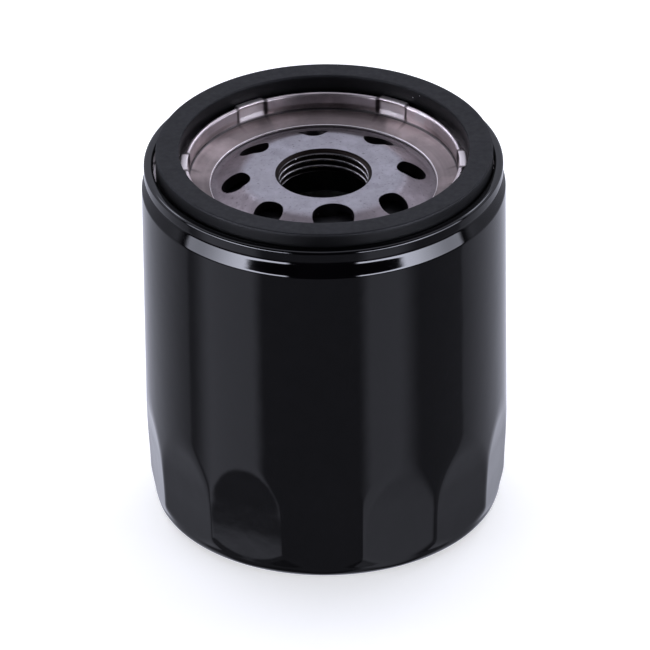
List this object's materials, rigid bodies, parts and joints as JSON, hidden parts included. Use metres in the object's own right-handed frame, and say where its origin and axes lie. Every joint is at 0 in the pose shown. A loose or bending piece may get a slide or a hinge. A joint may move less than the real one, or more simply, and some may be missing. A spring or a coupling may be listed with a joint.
{
  "type": "oil filter",
  "caption": "Spin-on oil filter: black can with wrench facets, rubber gasket, seamed lid and a threaded plate with oil inlets over a pleated element.",
  "frame": {"origin": "centre of the can's base, on the surface it stands on", "axes": "+Z along the thread axis from the closed base to the gasket face; -Y is the front, where the large inlet hole is; +X is to the right"},
  "size_m": [0.076, 0.076, 0.0835],
  "materials": {
    "black_paint": "high-gloss black stoved enamel on drawn steel",
    "bare_steel": "bare cold-rolled sheet, satin, with forming marks",
    "plate_steel": "matte pressed steel, mottled, bright on the thread crests",
    "cap_steel": "tin-plated thin sheet, satin",
    "spring_steel": "oiled spring wire",
    "gasket_rubber": "matte moulded nitrile with a ground sealing face",
    "valve_rubber": "smooth moulded nitrile",
    "filter_paper": "resin-treated pleated filter paper",
    "plastisol": "cured end-cap potting",
    "sealant": "cured seam sealing compound"
  },
  "bodies": {
    "can": {"can_shell": "black_paint", "seaming_lid": "bare_steel", "seam_sealant": "sealant", "sealing_gasket": "gasket_rubber", "tapping_plate": "plate_steel", "element_spring": "spring_steel"},
    "drainback_lip": {"anti_drainback_valve": "valve_rubber"},
    "element": {"top_end_cap": "cap_steel", "top_adhesive": "plastisol", "pleated_media": "filter_paper", "media_seam_clip": "cap_steel", "center_tube": "plate_steel", "bottom_adhesive": "plastisol", "bottom_end_cap": "cap_steel", "bypass_seat": "plate_steel", "bypass_cage": "plate_steel", "bypass_spring": "spring_steel"},
    "bypass_valve": {"bypass_poppet": "cap_steel", "bypass_seal": "valve_rubber", "bypass_stem": "spring_steel"}
  },
  "joints": [
    {"name": "drainback_lift", "type": "slide", "parent": "can", "child": "drainback_lip", "axis": [0, 0, -1], "range_m": [0, 0.001], "stiffness_N_per_m": 400, "springref_m": -0.0008, "deforming": ["anti_drainback_valve"]},
    {"name": "element_float", "type": "slide", "parent": "can", "child": "element", "axis": [0, 0, -1], "range_m": [0, 0.0015], "stiffness_N_per_m": 8000, "springref_m": -0.005, "deforming": ["element_spring"]},
    {"name": "bypass_lift", "type": "slide", "parent": "element", "child": "bypass_valve", "axis": [0, 0, 1], "range_m": [0, 0.003], "stiffness_N_per_m": 1200, "springref_m": -0.007, "deforming": ["bypass_spring"]}
  ]
}
